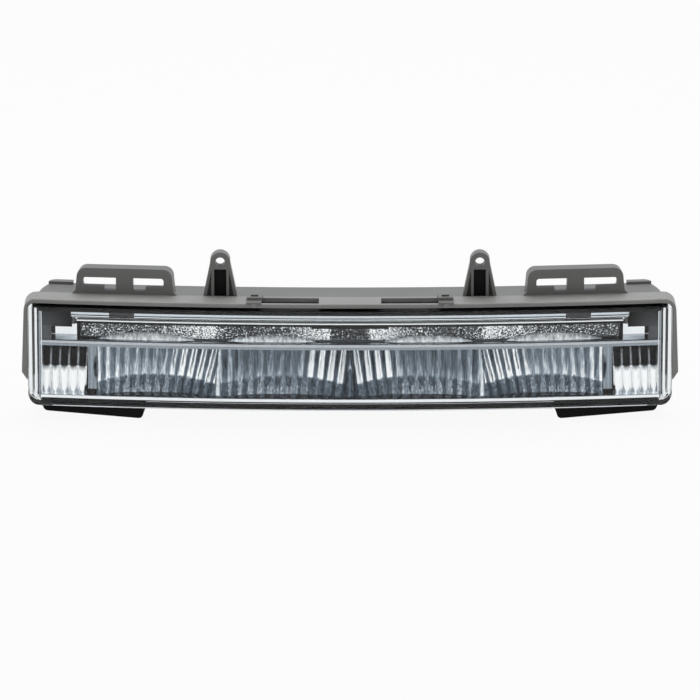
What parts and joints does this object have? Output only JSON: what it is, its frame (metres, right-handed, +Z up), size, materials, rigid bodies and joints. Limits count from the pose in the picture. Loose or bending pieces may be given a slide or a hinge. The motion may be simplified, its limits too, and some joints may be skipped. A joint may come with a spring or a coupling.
{
  "type": "daytime running lamp",
  "caption": "Long bowed clear-fronted daytime running lamp for a car, with fluted chrome reflectors, a light bar, top mounting lugs, slotted hook tabs and a finned back.",
  "frame": {"origin": "half way between the two ear holes, on the ears' front faces", "axes": "+X to the right as seen from the front, +Y from the lens towards the back, +Z up"},
  "size_m": [0.29, 0.0571, 0.0752],
  "materials": {
    "housing": "moulded plastic, satin",
    "clear_lens": "clear, polished",
    "seal": "soft black rubber",
    "trim_chrome": "metallised plastic, bright",
    "reflector_chrome": "metallised plastic, mirror bright",
    "diffuser": "clear with a fine grain",
    "light_guide": "clear, polished",
    "circuit_board": "green lacquer",
    "led": "yellow resin over a white package",
    "white_board": "white lacquer",
    "pad": "soft grey-blue",
    "heat_sink": "die cast, blasted",
    "screw": "zinc plated",
    "black_plastic": "moulded plastic, fine grain",
    "can": "drawn, satin",
    "contact": "bright",
    "membrane": "thin white film",
    "bracket": "black moulded plastic",
    "clip": "moulded plastic, satin"
  },
  "bodies": {
    "root": {"housing": "housing", "cover_lens": "clear_lens", "lens_seal": "seal", "trim_bezel": "trim_chrome", "reflector_bank": "reflector_chrome", "upper_reflector": "reflector_chrome", "diffuser_strip": "diffuser", "light_bar": "light_guide", "bar_strip": "circuit_board", "bar_leds": "led", "led_board": "white_board", "led_1": "led", "led_2": "led", "led_3": "led", "led_4": "led", "thermal_pad": "pad", "heat_sink": "heat_sink", "heat_sink_gasket": "seal", "heat_sink_screws": "screw", "driver_board": "circuit_board", "choke": "black_plastic", "capacitors": "can", "driver_chip": "black_plastic", "board_link": "black_plastic", "connector_socket": "black_plastic", "connector_pins": "contact", "vent_cap": "black_plastic", "vent_membrane": "membrane", "bracket_left": "bracket", "bracket_right": "bracket", "bracket_screws": "screw", "reflector_screws": "screw", "lens_clip_left": "clip", "lens_clip_right": "clip"}
  },
  "joints": []
}
